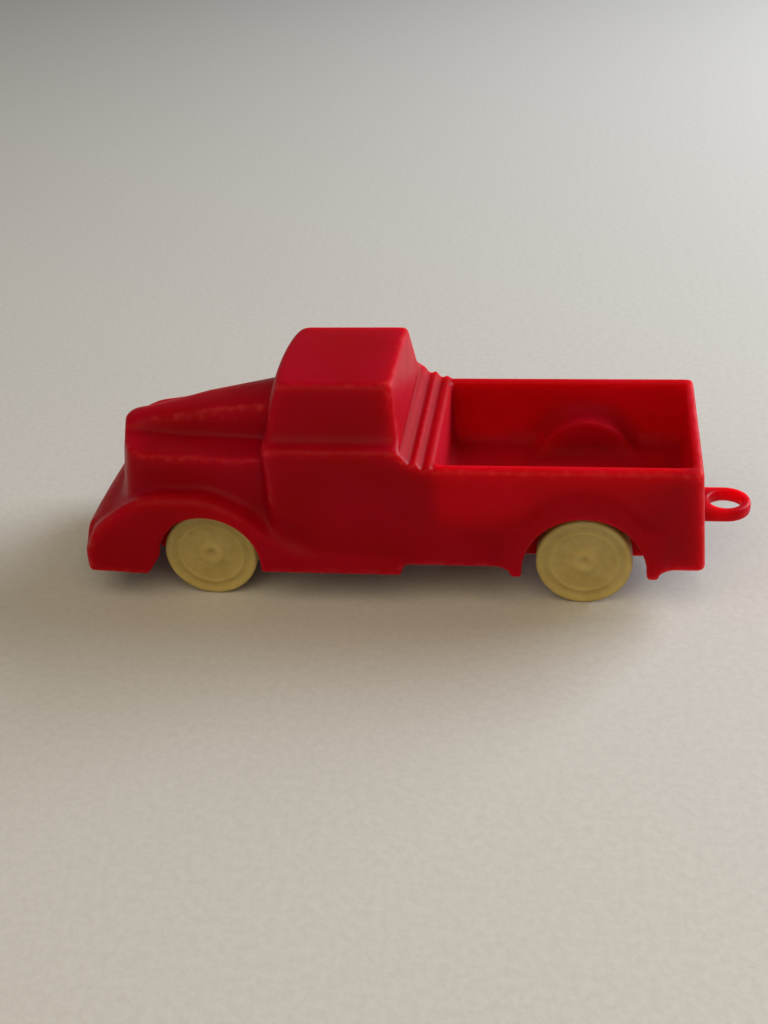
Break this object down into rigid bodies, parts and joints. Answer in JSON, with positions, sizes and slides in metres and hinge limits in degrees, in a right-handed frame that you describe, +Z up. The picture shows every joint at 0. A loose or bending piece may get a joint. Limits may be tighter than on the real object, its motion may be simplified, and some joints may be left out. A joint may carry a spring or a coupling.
{
  "type": "toy pickup truck",
  "caption": "Small free-rolling toy pickup: one-piece moulded shell with an open bed and a tow ring, on hard plastic wheels pressed onto wire axles.",
  "frame": {"origin": "on the ground, under the middle of the overall box", "axes": "+X towards the tailgate, -X towards the hood, +Z up, +Y to the truck's right-hand side"},
  "size_m": [0.0613, 0.02, 0.0206],
  "materials": {
    "red_plastic": "hard moulded plastic, half gloss, scuffed on raised edges",
    "cream_plastic": "hard moulded plastic, slightly translucent, satin",
    "axle_wire": "drawn steel wire"
  },
  "bodies": {
    "shell": {"body_shell": "red_plastic"},
    "front_wheelset": {"front_axle": "axle_wire", "wheel_front_left": "cream_plastic", "wheel_front_right": "cream_plastic"},
    "rear_wheelset": {"rear_axle": "axle_wire", "wheel_rear_left": "cream_plastic", "wheel_rear_right": "cream_plastic"}
  },
  "joints": [
    {"name": "front_roll", "type": "hinge", "parent": "shell", "child": "front_wheelset", "pos_m": [-0.01855, 0, 0.0043], "axis": [0, 1, 0], "continuous": true},
    {"name": "rear_roll", "type": "hinge", "parent": "shell", "child": "rear_wheelset", "pos_m": [0.01545, 0, 0.0043], "axis": [0, 1, 0], "continuous": true}
  ]
}
